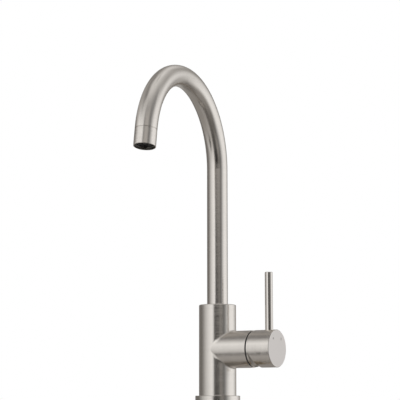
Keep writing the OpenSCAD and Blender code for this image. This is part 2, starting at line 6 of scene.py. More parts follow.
import bpy
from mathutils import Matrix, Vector


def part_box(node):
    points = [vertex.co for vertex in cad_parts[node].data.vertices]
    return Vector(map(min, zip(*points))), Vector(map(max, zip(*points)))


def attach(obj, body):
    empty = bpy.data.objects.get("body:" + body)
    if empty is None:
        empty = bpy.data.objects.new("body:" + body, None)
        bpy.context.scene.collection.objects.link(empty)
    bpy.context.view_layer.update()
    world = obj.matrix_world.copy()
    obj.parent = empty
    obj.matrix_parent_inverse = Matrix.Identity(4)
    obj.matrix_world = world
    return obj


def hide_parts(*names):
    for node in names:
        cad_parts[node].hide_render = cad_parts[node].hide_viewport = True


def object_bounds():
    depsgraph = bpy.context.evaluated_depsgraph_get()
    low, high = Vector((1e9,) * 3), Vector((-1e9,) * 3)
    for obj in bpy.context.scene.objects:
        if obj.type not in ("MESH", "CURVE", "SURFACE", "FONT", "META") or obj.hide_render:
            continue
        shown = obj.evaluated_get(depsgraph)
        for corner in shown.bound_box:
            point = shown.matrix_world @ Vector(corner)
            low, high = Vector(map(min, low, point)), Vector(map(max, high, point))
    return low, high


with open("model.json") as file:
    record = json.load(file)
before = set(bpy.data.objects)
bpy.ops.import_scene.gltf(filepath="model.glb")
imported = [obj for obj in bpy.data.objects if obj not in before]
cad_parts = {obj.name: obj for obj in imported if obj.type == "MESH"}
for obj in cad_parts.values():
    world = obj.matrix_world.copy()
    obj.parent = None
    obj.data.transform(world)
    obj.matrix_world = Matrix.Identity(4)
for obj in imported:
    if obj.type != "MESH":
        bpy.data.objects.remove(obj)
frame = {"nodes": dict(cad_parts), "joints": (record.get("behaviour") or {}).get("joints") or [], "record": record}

MM = 0.001
CAD_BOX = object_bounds()
NODE = frame["nodes"]
JOINT = {joint["name"]: joint for joint in frame["joints"]}
MOUNT = {mount["name"]: mount for mount in frame["record"]["mounts"]}


def centre_of(node):
    low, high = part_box(node)
    return (low + high) / 2


# ---- sizes and axes of the faucet, in metres ----

UP = Vector((0, 0, 1))
PORT_DIRECTION = Vector((1, 0, 0))
OUTLET_DIRECTION = Vector(MOUNT["water_outlet"]["axis"])
BARREL_POINT = Vector((0, 0, 0))         # one point on the axis of each turned piece
PORT_POINT = Vector(JOINT["handle_lift"]["pos_m"])
PIN_POINT = centre_of("pin_lever")
OUTLET_POINT = Vector(MOUNT["water_outlet"]["pos_m"])
BARREL_R = -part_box("tap_body")[0].x
CAP_FACE_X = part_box("handle_cap")[1].x
SPOUT_HEADING = Vector((OUTLET_POINT.x, OUTLET_POINT.y, 0)).normalized()
TUBE_R = 11.25 * MM
BEND_R = 85 * MM
BEND_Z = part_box("spout_tube")[1].z - TUBE_R - BEND_R


# ---- the photograph's view, from a camera fitted to its outlines ----

CAMERA_AT = Vector((0.7165, -1.1937, -0.0035))
CAMERA_TURN = math.radians(31.754)
CAMERA_TILT = math.radians(9.044)
LENS = 115.76
SENSOR_WIDTH = 36


# ---- building node trees ----

SHADER_TREE = "ShaderNodeTree"
GEOMETRY_TREE = "GeometryNodeTree"
SINGLE_VALUE = ("DOT_PRODUCT", "LENGTH", "DISTANCE")     # vector operations that give a number


class Tree:
    """A node tree, with short calls that add a node and return its result.

    A value is a number, a tuple or another node's socket.
    """

    def __init__(self, tree):
        self.tree = tree

    def feed(self, socket, value):
        if isinstance(value, bpy.types.NodeSocket):
            self.tree.links.new(value, socket)
        else:
            socket.default_value = value

    def add(self, kind, inputs=None, **settings):
        node = self.tree.nodes.new(kind)
        for name, value in settings.items():
            setattr(node, name, value)
        for name, value in (inputs or {}).items():
            self.feed(node.inputs[name], value)
        return node

    def math(self, operation, a, b=0.0, c=0.0):
        return self.add("ShaderNodeMath", {0: a, 1: b, 2: c}, operation=operation).outputs[0]

    def plus(self, a, b):
        return self.math("ADD", a, b)

    def minus(self, a, b):
        return self.math("SUBTRACT", a, b)

    def times(self, a, b):
        return self.math("MULTIPLY", a, b)

    def over(self, a, b):
        return self.math("DIVIDE", a, b)

    def times_plus(self, a, b, c):
        return self.math("MULTIPLY_ADD", a, b, c)

    def vector(self, operation, a, b=(0, 0, 0), scale=1.0):
        node = self.add("ShaderNodeVectorMath", {0: a, 1: b, 3: scale}, operation=operation)
        return node.outputs["Value" if operation in SINGLE_VALUE else "Vector"]

    def scaled(self, vector, scale):
        return self.vector("SCALE", vector, scale=scale)

    def join(self, x=0.0, y=0.0, z=0.0):
        return self.add("ShaderNodeCombineXYZ", {0: x, 1: y, 2: z}).outputs[0]

    def split(self, value):
        return self.add("ShaderNodeSeparateXYZ", {0: value}).outputs

    def ramp(self, value, low, high, to_low=0.0, to_high=1.0, smooth=True):
        node = self.add("ShaderNodeMapRange", {
            "Value": value, "From Min": low, "From Max": high, "To Min": to_low, "To Max": to_high,
        }, interpolation_type="SMOOTHSTEP" if smooth else "LINEAR")
        return node.outputs["Result"]

    def noise(self, place, scale=1.0, detail=2.0, roughness=0.5):
        node = self.add("ShaderNodeTexNoise", {
            "Vector": place, "Scale": scale, "Detail": detail, "Roughness": roughness})
        return node.outputs["Fac"]

    def mix(self, factor, a, b, kind="RGBA", blend="MIX"):
        node = self.add("ShaderNodeMix", data_type=kind)
        if kind == "RGBA":
            node.blend_type = blend
        used = [socket for socket in node.inputs if socket.enabled]
        for socket, value in zip(used, (factor, a, b)):
            self.feed(socket, value)
        return next(socket for socket in node.outputs if socket.enabled)

    def group(self, tree, inputs):
        """A node that runs another tree of the same type, as its outputs."""
        kind = self.tree.bl_idname.replace("Tree", "Group")
        return self.add(kind, inputs, node_tree=tree).outputs


def open_group(tree_type, name, inputs, outputs):
    """A new group with named sockets: its Tree, the values given to it, and where results go."""
    tree = bpy.data.node_groups.new(name, tree_type)
    for in_out, sockets in (("INPUT", inputs), ("OUTPUT", outputs)):
        for label, kind in sockets.items():
            tree.interface.new_socket(label, in_out=in_out, socket_type=f"NodeSocket{kind}")
    given = tree.nodes.new("NodeGroupInput").outputs
    out = tree.nodes.new("NodeGroupOutput").inputs
    return Tree(tree), given, out


def rgba(colour):
    return (*colour, 1)


# ---- shader groups ----

LEAN_GAIN = 7.0                  # brings the noise's swing up to the lean that is asked for
STREAK_SCALE = 0.16              # broad streaks against fine lines
STREAK_OFFSET = (37, 11, 5)      # keeps the streaks clear of the lines' own pattern
STREAK_LEAN = 0.04               # what the streaks add to the lean, the roughness and the shade
STREAK_ROUGHNESS = 0.06
STREAK_SHADE = 0.10
BEVEL_SAMPLES = 4
WEAR_HIGHLIGHT_BEND = (0.02, 0.25)         # how far a rounded edge turns, from none to full wear and painted highlight
WEAR_HIGHLIGHT_SCALE = 420.0               # noise scales are in patches per metre
WEAR_HIGHLIGHT_LEVELS = (0.35, 0.62, 0.45, 1.0)    # noise from and to, then wear and painted highlight from and to
DUST_SPECK_SCALE = 2600.0
DUST_SPECK_LEVELS = (0.45, 0.75)
DUST_DRIFT_SCALE = 90.0
DUST_DRIFT_LEVELS = (0.35, 0.7)
DUST_SLOPE = (-0.1, 0.9)         # the upward part of the normal, from no dust to full dust
MARK_EDGE = 0.08 * MM


def make_turned_lay():
    """Grain of a turned piece: the way across its lines, and each line's place on the profile."""
    t, given, out = open_group(
        SHADER_TREE, "turned lay",
        {"Axis Point": "Vector", "Axis": "Vector"},
        {"Lay": "Vector", "Line Place": "Vector"},
    )
    place = t.add("ShaderNodeTexCoord").outputs
    arm = t.vector("SUBTRACT", place["Object"], given["Axis Point"])
    along = t.vector("DOT_PRODUCT", arm, given["Axis"])
    outward = t.vector("SUBTRACT", arm, t.scaled(given["Axis"], along))
    round_about = t.vector("NORMALIZE", t.vector("CROSS_PRODUCT", given["Axis"], outward))
    t.feed(out["Lay"], t.vector("CROSS_PRODUCT", place["Normal"], round_about))
    t.feed(out["Line Place"], t.join(along, t.vector("LENGTH", outward)))
    return t.tree


def make_gooseneck_lay():
    """Grain of the bent tube: lines run round it, square to its centre line."""
    t, given, out = open_group(
        SHADER_TREE, "gooseneck lay",
        {"Heading": "Vector", "Bend Height": "Float", "Bend Radius": "Float"},
        {"Lay": "Vector", "Line Place": "Vector"},
    )
    place = t.add("ShaderNodeTexCoord").outputs["Object"]
    height = t.split(place)["Z"]
    reach = t.minus(t.vector("DOT_PRODUCT", place, given["Heading"]), given["Bend Radius"])
    rise = t.math("MAXIMUM", t.minus(height, given["Bend Height"]), 0.0)
    forward = t.scaled(given["Heading"], rise)
    inward = t.times(reach, -1.0)
    t.feed(out["Lay"], t.vector("NORMALIZE", t.vector("ADD", forward, t.join(z=inward))))
    on_bend = t.times(t.math("ARCTAN2", rise, inward), given["Bend Radius"])
    on_riser = t.math("MINIMUM", height, given["Bend Height"])
    t.feed(out["Line Place"], t.join(t.plus(on_bend, on_riser)))
    return t.tree


def make_brushing():
    """Fine brushed lines: each leans a little along the lay, so reflections smear along it."""
    t, given, out = open_group(
        SHADER_TREE, "brushing",
        {"Lay": "Vector", "Line Place": "Vector", "Line Width": "Float", "Line Length": "Float",
         "Lean": "Float", "Roughness": "Float"},
        {"Normal": "Vector", "Roughness": "Float", "Shade": "Float"},
    )
    place = t.add("ShaderNodeTexCoord").outputs
    across = t.scaled(given["Line Place"], t.over(1.0, given["Line Width"]))
    drift = t.scaled(place["Object"], t.over(1.0, given["Line Length"]))
    pattern = t.vector("ADD", across, drift)
    line = t.minus(t.noise(pattern, detail=1.0), 0.5)
    streak = t.minus(t.noise(t.vector("ADD", pattern, STREAK_OFFSET), STREAK_SCALE), 0.5)
    swing = t.times_plus(streak, STREAK_LEAN, line)
    lean = t.times(t.times(swing, LEAN_GAIN), given["Lean"])
    leaning = t.vector("ADD", place["Normal"], t.scaled(given["Lay"], lean))
    facing = t.add("ShaderNodeVectorTransform", {"Vector": t.vector("NORMALIZE", leaning)},
                   vector_type="NORMAL", convert_from="OBJECT", convert_to="WORLD")
    t.feed(out["Normal"], facing.outputs[0])
    t.feed(out["Roughness"], t.times_plus(streak, STREAK_ROUGHNESS, given["Roughness"]))
    t.feed(out["Shade"], t.times_plus(streak, STREAK_SHADE, 1.0))
    return t.tree


def make_edge_wear_and_highlight():
    """A mask of the narrow band along outer edges, where handling polishes the metal and a lighter colour paints a
    highlight.
    """
    t, given, out = open_group(SHADER_TREE, "edge wear", {"Width": "Float"}, {"Mask": "Float"})
    rounded = t.add("ShaderNodeBevel", {"Radius": given["Width"]}, samples=BEVEL_SAMPLES)
    true = t.add("ShaderNodeNewGeometry").outputs["Normal"]
    bend = t.minus(1.0, t.vector("DOT_PRODUCT", rounded.outputs[0], true))
    place = t.add("ShaderNodeTexCoord").outputs["Object"]
    broken = t.ramp(t.noise(place, WEAR_HIGHLIGHT_SCALE, detail=3.0), *WEAR_HIGHLIGHT_LEVELS)
    t.feed(out["Mask"], t.times(t.ramp(bend, *WEAR_HIGHLIGHT_BEND), broken))
    return t.tree


def make_mottle():
    """Slow, faint unevenness of tone, as on any handled or moulded surface."""
    t, given, out = open_group(
        SHADER_TREE, "mottle", {"Size": "Float", "Amount": "Float"}, {"Shade": "Float"})
    place = t.add("ShaderNodeTexCoord").outputs["Object"]
    patches = t.noise(t.scaled(place, t.over(1.0, given["Size"])), detail=3.0)
    swing = t.times(t.minus(patches, 0.5), given["Amount"])
    t.feed(out["Shade"], t.times_plus(swing, 2.0, 1.0))
    return t.tree


def make_dust():
    """Fine dust that settles on faces that look up."""
    t, given, out = open_group(SHADER_TREE, "dust", {"Amount": "Float"}, {"Mask": "Float"})
    place = t.add("ShaderNodeTexCoord").outputs["Object"]
    up = t.split(t.add("ShaderNodeNewGeometry").outputs["Normal"])["Z"]
    specks = t.ramp(t.noise(place, DUST_SPECK_SCALE, roughness=0.7), *DUST_SPECK_LEVELS)
    drifts = t.ramp(t.noise(place, DUST_DRIFT_SCALE, detail=3.0), *DUST_DRIFT_LEVELS)
    resting = t.times(t.ramp(up, *DUST_SLOPE), t.times(specks, drifts))
    t.feed(out["Mask"], t.times(resting, given["Amount"]))
    return t.tree


def make_etched_marks():
    """Two faint marks etched in a face: a round dot and a small ring."""
    t, given, out = open_group(
        SHADER_TREE, "etched marks",
        {"Dot Centre": "Vector", "Dot Radius": "Float", "Ring Centre": "Vector",
         "Ring Radius": "Float", "Line Width": "Float"},
        {"Mask": "Float"},
    )
    place = t.add("ShaderNodeTexCoord").outputs["Object"]
    past_dot = t.minus(t.vector("DISTANCE", place, given["Dot Centre"]), given["Dot Radius"])
    off_ring = t.minus(t.vector("DISTANCE", place, given["Ring Centre"]), given["Ring Radius"])
    past_line = t.times_plus(given["Line Width"], -0.5, t.math("ABSOLUTE", off_ring))
    past_edge = t.math("MINIMUM", past_dot, past_line)
    t.feed(out["Mask"], t.ramp(past_edge, -MARK_EDGE, MARK_EDGE, 1.0, 0.0))
    return t.tree


TURNED_LAY = make_turned_lay()
GOOSENECK_LAY = make_gooseneck_lay()
BRUSHING = make_brushing()
EDGE_WEAR_AND_HIGHLIGHT = make_edge_wear_and_highlight()
MOTTLE = make_mottle()
DUST = make_dust()
ETCHED_MARKS = make_etched_marks()


# ---- finishes ----

NICKEL = (0.761, 0.724, 0.681)
# The lighter nickel along edges is a painted highlight; the real polish there is the lower roughness.
NICKEL_RUBBED_HIGHLIGHT = (0.83, 0.81, 0.785)
DUST_GREY = (0.55, 0.53, 0.50)
FACE_METAL = (0.710, 0.680, 0.659)
MARK_METAL = (0.42, 0.40, 0.385)

LINE_WIDTH = 0.07 * MM
LINE_LENGTH = 12 * MM
LEAN = 0.09
SPOUT_LEAN = 0.02                        # the tube and the pin are brushed more finely
PIN_LEAN = 0.01
ROUGHNESS = 0.22
PIN_ROUGHNESS = 0.12
RUBBED_SHARE = 0.7                       # of the roughness, where handling polishes an edge
WEAR_HIGHLIGHT_WIDTH = 0.4 * MM
BRUSHED_MOTTLE = {"Size": 14 * MM, "Amount": 0.03}
PORT_LAY = (BARREL_R + 0.2 * MM, BARREL_R + 1.2 * MM)    # where the port's lines take over

FACE_TURN = (0.9, 0.98)                  # the normal's X, from the cap's side to its face
FACE_GRAIN_SCALE = 5200.0
FACE_GRAIN_DEPTH = 0.04 * MM
FACE_GRAIN_STRENGTH = 0.25
FACE_MOTTLE = {"Size": 9 * MM, "Amount": 0.02}
FACE_ROUGHNESS = 0.42
MARK_ROUGHNESS = 0.6
MARK_Y = 8.5 * MM                        # the handle's two marks, from the port's axis
MARK_Z = 10.2 * MM
MARK_SIZES = {"Dot Radius": 1.1 * MM, "Ring Radius": 1.2 * MM, "Line Width": 0.5 * MM}

GRAIN_STRENGTH = 0.4
GRAIN_LEVELS = (0.3, 0.7)
GRAIN_ROUGHNESS = 0.06                   # how far the roughness swings with the grain
PLAIN_MOTTLE = {"Size": 6 * MM, "Amount": 0.06}
DUST_AMOUNT = 0.1


def new_material(name):
    """A material with an empty tree, its Tree and its Principled shader."""
    material = bpy.data.materials.new(name)
    material.use_nodes = True
    t = Tree(material.node_tree)
    shader = material.node_tree.nodes["Principled BSDF"]
    return material, t, shader


def tinted(t, colour, *shades):
    """A colour multiplied by one or more grey shades."""
    result = rgba(colour)
    for shade in shades:
        result = t.mix(1.0, result, shade, blend="MULTIPLY")
    return result


def brushed(name, lay_of, lean=LEAN, roughness=ROUGHNESS):
    """Brushed nickel whose lines follow lay_of(t), a pair of sockets: lay and line place."""
    material, t, shader = new_material(name)
    lay, line_place = lay_of(t)
    lines = t.group(BRUSHING, {
        "Lay": lay, "Line Place": line_place, "Line Width": LINE_WIDTH,
        "Line Length": LINE_LENGTH, "Lean": lean, "Roughness": roughness})
    wear_and_highlight = t.group(EDGE_WEAR_AND_HIGHLIGHT, {"Width": WEAR_HIGHLIGHT_WIDTH})["Mask"]
    mottle = t.group(MOTTLE, BRUSHED_MOTTLE)["Shade"]
    plain = tinted(t, NICKEL, lines["Shade"], mottle)
    gloss = t.mix(wear_and_highlight, lines["Roughness"], roughness * RUBBED_SHARE, "FLOAT")
    # Edges take the lighter nickel, a painted highlight, as well as the real polish in the roughness.
    t.feed(shader.inputs["Base Color"], t.mix(wear_and_highlight, plain, rgba(NICKEL_RUBBED_HIGHLIGHT)))
    t.feed(shader.inputs["Roughness"], gloss)
    t.feed(shader.inputs["Normal"], lines["Normal"])
    shader.inputs["Metallic"].default_value = 1.0
    return material


def turned_about(point, axis):
    """The lay of a piece turned about an axis."""
    def lay_of(t):
        lines = t.group(TURNED_LAY, {"Axis Point": point, "Axis": axis})
        return lines["Lay"], lines["Line Place"]
    return lay_of


def gooseneck_lay(t):
    """The lay of the spout tube."""
    lines = t.group(GOOSENECK_LAY, {
        "Heading": SPOUT_HEADING, "Bend Height": BEND_Z, "Bend Radius": BEND_R})
    return lines["Lay"], lines["Line Place"]


def tap_body_lay(t):
    """Lines round the barrel, and lines round the port past the barrel's wall."""
    barrel_lay, barrel_line = turned_about(BARREL_POINT, UP)(t)
    port_lay, port_line = turned_about(PORT_POINT, PORT_DIRECTION)(t)
    place = t.split(t.add("ShaderNodeTexCoord").outputs["Object"])
    reach = t.vector("LENGTH", t.join(place["X"], place["Y"]))
    on_port = t.ramp(reach, *PORT_LAY)
    lay = t.mix(on_port, barrel_lay, port_lay, "VECTOR")
    return lay, t.mix(on_port, barrel_line, port_line, "VECTOR")


def satin_face(name):
    """The handle cap: brushed round its side, with two etched marks on its blasted face."""
    material = brushed(name, turned_about(PORT_POINT, PORT_DIRECTION))
    t = Tree(material.node_tree)
    shader = material.node_tree.nodes["Principled BSDF"]
    place = t.add("ShaderNodeTexCoord").outputs
    on_face = t.ramp(t.split(place["Normal"])["X"], *FACE_TURN)
    grain = t.noise(place["Object"], FACE_GRAIN_SCALE)
    bump = t.add("ShaderNodeBump", {
        "Height": grain, "Strength": FACE_GRAIN_STRENGTH, "Distance": FACE_GRAIN_DEPTH})
    hot, cold = (Vector((CAP_FACE_X, side * MARK_Y, PORT_POINT.z + MARK_Z)) for side in (-1, 1))
    marks = t.group(ETCHED_MARKS, {"Dot Centre": hot, "Ring Centre": cold, **MARK_SIZES})["Mask"]
    bare = tinted(t, FACE_METAL, t.group(MOTTLE, FACE_MOTTLE)["Shade"])
    face = {
        "Base Color": (t.mix(marks, bare, rgba(MARK_METAL)), "RGBA"),
        "Roughness": (t.mix(marks, FACE_ROUGHNESS, MARK_ROUGHNESS, "FLOAT"), "FLOAT"),
        "Normal": (bump.outputs[0], "VECTOR"),
    }
    for name_of_socket, (value, kind) in face.items():
        socket = shader.inputs[name_of_socket]
        on_side = socket.links[0].from_socket
        t.feed(socket, t.mix(on_face, on_side, value, kind))
    return material


def plain_finish(name, colour, roughness, grain_size, grain_depth, dust=DUST_AMOUNT,
                 metallic=0.0, coat=0.0):
    """A moulded, cast or machined finish: fine grain, uneven tone and a little dust."""
    material, t, shader = new_material(name)
    place = t.add("ShaderNodeTexCoord").outputs["Object"]
    grain = t.noise(t.scaled(place, 1 / grain_size), detail=3.0)
    bump = t.add("ShaderNodeBump", {
        "Height": grain, "Strength": GRAIN_STRENGTH, "Distance": grain_depth})
    plain = tinted(t, colour, t.group(MOTTLE, PLAIN_MOTTLE)["Shade"])
    settled = t.group(DUST, {"Amount": dust})["Mask"]
    smooth, rough = roughness - GRAIN_ROUGHNESS, roughness + GRAIN_ROUGHNESS
    t.feed(shader.inputs["Base Color"], t.mix(settled, plain, rgba(DUST_GREY)))
    t.feed(shader.inputs["Roughness"], t.ramp(grain, *GRAIN_LEVELS, smooth, rough))
    t.feed(shader.inputs["Normal"], bump.outputs[0])
    shader.inputs["Metallic"].default_value = metallic
    shader.inputs["Coat Weight"].default_value = coat
    return material


# Each plain finish: colour, roughness, then size and depth of its grain.
SCREW_STEEL = plain_finish(
    "screw steel", (0.62, 0.61, 0.60), 0.3, 0.2 * MM, 0.02 * MM, metallic=1.0)
MACHINED_BRASS = plain_finish(
    "machined brass", (0.78, 0.57, 0.28), 0.32, 0.25 * MM, 0.02 * MM, metallic=1.0)
BLACK_RUBBER = plain_finish(
    "black rubber", (0.018, 0.018, 0.019), 0.6, 0.3 * MM, 0.04 * MM)
WHITE_ACETAL = plain_finish(
    "white acetal", (0.80, 0.80, 0.77), 0.42, 0.35 * MM, 0.02 * MM)
BLUE_MOULDING = plain_finish(
    "blue moulding", (0.05, 0.12, 0.26), 0.45, 0.35 * MM, 0.02 * MM)
BLACK_MOULDING = plain_finish(
    "black moulding", (0.012, 0.012, 0.013), 0.38, 0.35 * MM, 0.02 * MM, dust=0.04)
CERAMIC = plain_finish(
    "ceramic", (0.83, 0.81, 0.76), 0.15, 0.1 * MM, 0.004 * MM, coat=0.3)


def dress(material, *nodes):
    for name in nodes:
        for material_slot in NODE[name].material_slots:
            material_slot.material = material


def dress_nodes():
    """Give every CAD node its finish."""
    round_barrel = turned_about(BARREL_POINT, UP)
    round_port = turned_about(PORT_POINT, PORT_DIRECTION)
    round_outlet = turned_about(OUTLET_POINT, OUTLET_DIRECTION)
    round_pin = turned_about(PIN_POINT, UP)
    dress(brushed("brushed nickel body", tap_body_lay), "tap_body")
    dress(brushed("brushed nickel base", round_barrel), "base_ring")
    dress(brushed("brushed nickel spout", gooseneck_lay, SPOUT_LEAN), "spout_tube")
    dress(brushed("brushed nickel collar", round_outlet), "aerator_collar")
    dress(brushed("brushed nickel bonnet", round_port), "bonnet")
    dress(brushed("brushed nickel pin", round_pin, PIN_LEAN, PIN_ROUGHNESS), "pin_lever")
    dress(satin_face("brushed nickel cap"), "handle_cap")
    dress(SCREW_STEEL, "clamp_screws", "deck_washer", "spout_lock_screw", "handle_grub_screw",
          "spindle", "spindle_pin", "aerator_screen")
    dress(MACHINED_BRASS, "mounting_shank", "shank_nut", "cartridge_nut", "spout_bush")
    dress(BLACK_RUBBER, "base_seal", "deck_gasket", "bonnet_seal", "cartridge_seals",
          "spout_o_rings", "aerator_washer")
    dress(WHITE_ACETAL, "glide_ring", "thrust_washer", "cartridge_base", "turret")
    dress(BLUE_MOULDING, "cartridge_housing", "disc_carrier", "flow_regulator")
    dress(BLACK_MOULDING, "aerator_insert")
    dress(CERAMIC, "fixed_disc", "moving_disc")


# ---- screw threads ----

SHANK_WALL = 2.5 * MM
SHANK_PITCH = 1.5 * MM
SHANK_THREAD_DEPTH = 0.85 * MM
SHANK_CHAMFER = 1.0 * MM
SHANK_SIDES = 72
CLAMP_R = 2.5 * MM
CLAMP_PITCH = 0.8 * MM
CLAMP_THREAD_DEPTH = 0.45 * MM
CLAMP_HEAD_H = 3.5 * MM
CLAMP_HEAD_EDGE = 0.4 * MM
CLAMP_SIDES = 32
HEAD_ROWS = 8
DRIVER_SLOT = (1.2 * MM, 1.5 * MM)       # width and depth
ROWS_PER_PITCH = 8
FLANK = (0.06, 0.44)                     # pitches from the crest's middle to the flank's two ends
WELD = 0.001 * MM
SHARP_ANGLE = math.radians(42)

BAR_INPUTS = {
    "Radius": "Float", "Bore": "Float", "Foot": "Float", "Length": "Float", "Pitch": "Float",
    "Depth": "Float", "Chamfer": "Float", "Sides": "Int", "Material": "Material",
}
HEAD_INPUTS = {
    "Head Radius": "Float", "Head Height": "Float", "Head Edge": "Float",
    "Slot Width": "Float", "Slot Depth": "Float", "Line Radius": "Float",
}
MESH_OUTPUT = {"Mesh": "Geometry"}


def joined(t, *parts):
    node = t.add("GeometryNodeJoinGeometry")
    for part in parts:
        t.tree.links.new(part, node.inputs[0])
    return node.outputs[0]


def moved_up(t, mesh, height):
    node = t.add("GeometryNodeTransform", {"Geometry": mesh, "Translation": t.join(z=height)})
    return node.outputs[0]


def finished(t, mesh, material):
    """Plain mesh with smooth faces, sharp corners and one material."""
    angle = t.add("GeometryNodeInputMeshEdgeAngle").outputs["Unsigned Angle"]
    corners = t.add("FunctionNodeCompare", {0: angle, 1: SHARP_ANGLE}, operation="GREATER_THAN")
    plain = t.add("GeometryNodeRealizeInstances", {"Geometry": mesh})
    smooth = t.add("GeometryNodeSetShadeSmooth", {
        "Geometry": plain.outputs[0], "Shade Smooth": True})
    sharp = t.add("GeometryNodeSetShadeSmooth", {
        "Geometry": smooth.outputs[0], "Selection": corners.outputs[0], "Shade Smooth": False,
    }, domain="EDGE")
    coloured = t.add("GeometryNodeSetMaterial", {
        "Geometry": sharp.outputs[0], "Material": material})
    return coloured.outputs[0]


def placed_grid(t, rows, sides, place_of):
    """A grid whose point at share `along` and angle `turn` goes where place_of says."""
    grid = t.add("GeometryNodeMeshGrid", {
        "Size X": 1.0, "Size Y": 1.0, "Vertices X": rows, "Vertices Y": t.plus(sides, 1.0)})
    flat = t.split(t.add("GeometryNodeInputPosition").outputs[0])
    along = t.plus(flat["X"], 0.5)
    turn = t.times(t.plus(flat["Y"], 0.5), math.tau)
    radius, height = place_of(along, turn)
    place = t.join(t.times(radius, t.math("COSINE", turn)),
                   t.times(radius, t.math("SINE", turn)), height)
    moved = t.add("GeometryNodeSetPosition", {
        "Geometry": grid.outputs["Mesh"], "Position": place})
    return moved.outputs[0]


def make_threaded_bar():
    """A bar or tube with a thread cut round it.

    The grid's rows run along the helix. A spare pitch of rows at each end is pressed flat there,
    and the first and last rows close the ends down to the bore.
    """
    t, given, out = open_group(GEOMETRY_TREE, "threaded bar", BAR_INPUTS, MESH_OUTPUT)
    length, reach = given["Length"], given["Radius"]
    turns = t.math("CEIL", t.over(length, given["Pitch"]))
    steps = t.times_plus(turns, ROWS_PER_PITCH, 2 * ROWS_PER_PITCH + 2)
    rows = t.plus(steps, 1.0)

    def thread(along, turn):
        row = t.math("ROUND", t.times(along, steps))
        pitches = t.over(t.minus(row, ROWS_PER_PITCH + 1), ROWS_PER_PITCH)
        wound = t.times(t.plus(pitches, t.over(turn, math.tau)), given["Pitch"])
        height = t.math("MINIMUM", t.math("MAXIMUM", wound, 0.0), length)
        cut = t.ramp(t.math("PINGPONG", pitches, 0.5), *FLANK, smooth=False)
        crest = t.minus(reach, t.times(cut, given["Depth"]))
        to_end = t.math("MINIMUM", height, t.minus(length, height))
        bevel = t.plus(t.minus(reach, given["Chamfer"]), to_end)
        first = t.math("LESS_THAN", row, 0.5)
        last = t.math("GREATER_THAN", row, t.minus(steps, 0.5))
        at_bore = t.math("MAXIMUM", first, last)
        radius = t.mix(at_bore, t.math("MINIMUM", crest, bevel), given["Bore"], "FLOAT")
        level = t.mix(first, t.mix(last, height, length, "FLOAT"), 0.0, "FLOAT")
        return radius, t.plus(level, given["Foot"])

    def bore(along, turn):
        return given["Bore"], t.times_plus(along, length, given["Foot"])

    outside = t.add("GeometryNodeFlipFaces", {
        "Mesh": placed_grid(t, rows, given["Sides"], thread)})
    inside = t.add("GeometryNodeSwitch", {
        "Switch": t.math("GREATER_THAN", given["Bore"], WELD),
        "True": placed_grid(t, 2, given["Sides"], bore),
    }, input_type="GEOMETRY")
    welded = t.add("GeometryNodeMergeByDistance", {
        "Geometry": joined(t, outside.outputs[0], inside.outputs[0]), "Distance": WELD})
    t.feed(out["Mesh"], finished(t, welded.outputs[0], given["Material"]))
    return t.tree


def slotted_head(t, given):
    """A round screw head, bevelled at its foot, with a driver slot there."""
    half_head = t.times(given["Head Height"], 0.5)
    blank = t.add("GeometryNodeMeshCylinder", {
        "Vertices": given["Sides"], "Side Segments": HEAD_ROWS, "Radius": given["Head Radius"],
        "Depth": given["Head Height"]})
    point = t.split(t.add("GeometryNodeInputPosition").outputs[0])
    above_foot = t.plus(point["Z"], half_head)
    drawn_in = t.math("MAXIMUM", t.minus(given["Head Edge"], above_foot), 0.0)
    girth = t.minus(1.0, t.over(drawn_in, given["Head Radius"]))
    bevelled = t.add("GeometryNodeSetPosition", {
        "Geometry": blank.outputs["Mesh"],
        "Position": t.join(t.times(point["X"], girth), t.times(point["Y"], girth), point["Z"])})
    tool = t.add("GeometryNodeMeshCube", {
        "Size": t.join(given["Slot Width"], t.times(given["Head Radius"], 3.0),
                       t.times(given["Slot Depth"], 2.0))})
    slotted = t.add("GeometryNodeMeshBoolean", {
        "Mesh 1": bevelled.outputs[0],
        "Mesh 2": moved_up(t, tool.outputs["Mesh"], t.times(half_head, -1.0)),
    }, operation="DIFFERENCE")
    return moved_up(t, slotted.outputs["Mesh"], t.minus(given["Foot"], half_head))


def make_clamp_screws(bar):
    """Two slotted screws, one on each side of the middle."""
    bar_inputs = {name: kind for name, kind in BAR_INPUTS.items() if name != "Bore"}
    t, given, out = open_group(
        GEOMETRY_TREE, "clamp screws", {**bar_inputs, **HEAD_INPUTS}, MESH_OUTPUT)
    shaft = t.group(bar, {"Bore": 0.0, **{name: given[name] for name in bar_inputs}})["Mesh"]
    screw = joined(t, shaft, slotted_head(t, given))
    places = t.add("GeometryNodeMeshLine", {
        "Count": 2, "Start Location": t.join(t.times(given["Line Radius"], -1.0)),
        "Offset": t.join(t.times(given["Line Radius"], 2.0))})
    pair = t.add("GeometryNodeInstanceOnPoints", {
        "Points": places.outputs[0], "Instance": screw})
    t.feed(out["Mesh"], finished(t, pair.outputs[0], given["Material"]))
    return t.tree


def grow(tree, name, values):
    """The plain mesh object that a geometry tree makes from its named inputs."""
    piece = bpy.data.objects.new(name, bpy.data.meshes.new(name))
    bpy.context.scene.collection.objects.link(piece)
    modifier = piece.modifiers.new(tree.name, "NODES")
    modifier.node_group = tree
    for item in tree.interface.items_tree:
        if item.in_out == "INPUT":
            modifier[item.identifier] = values[item.name]
    grown = piece.evaluated_get(bpy.context.evaluated_depsgraph_get())
    piece.data = bpy.data.meshes.new_from_object(grown)
    piece.modifiers.remove(modifier)
    return piece


def stand_in(piece, node):
    """The piece rides where the node rides and stands for it."""
    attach(piece, "faucet_body")
    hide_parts(node)


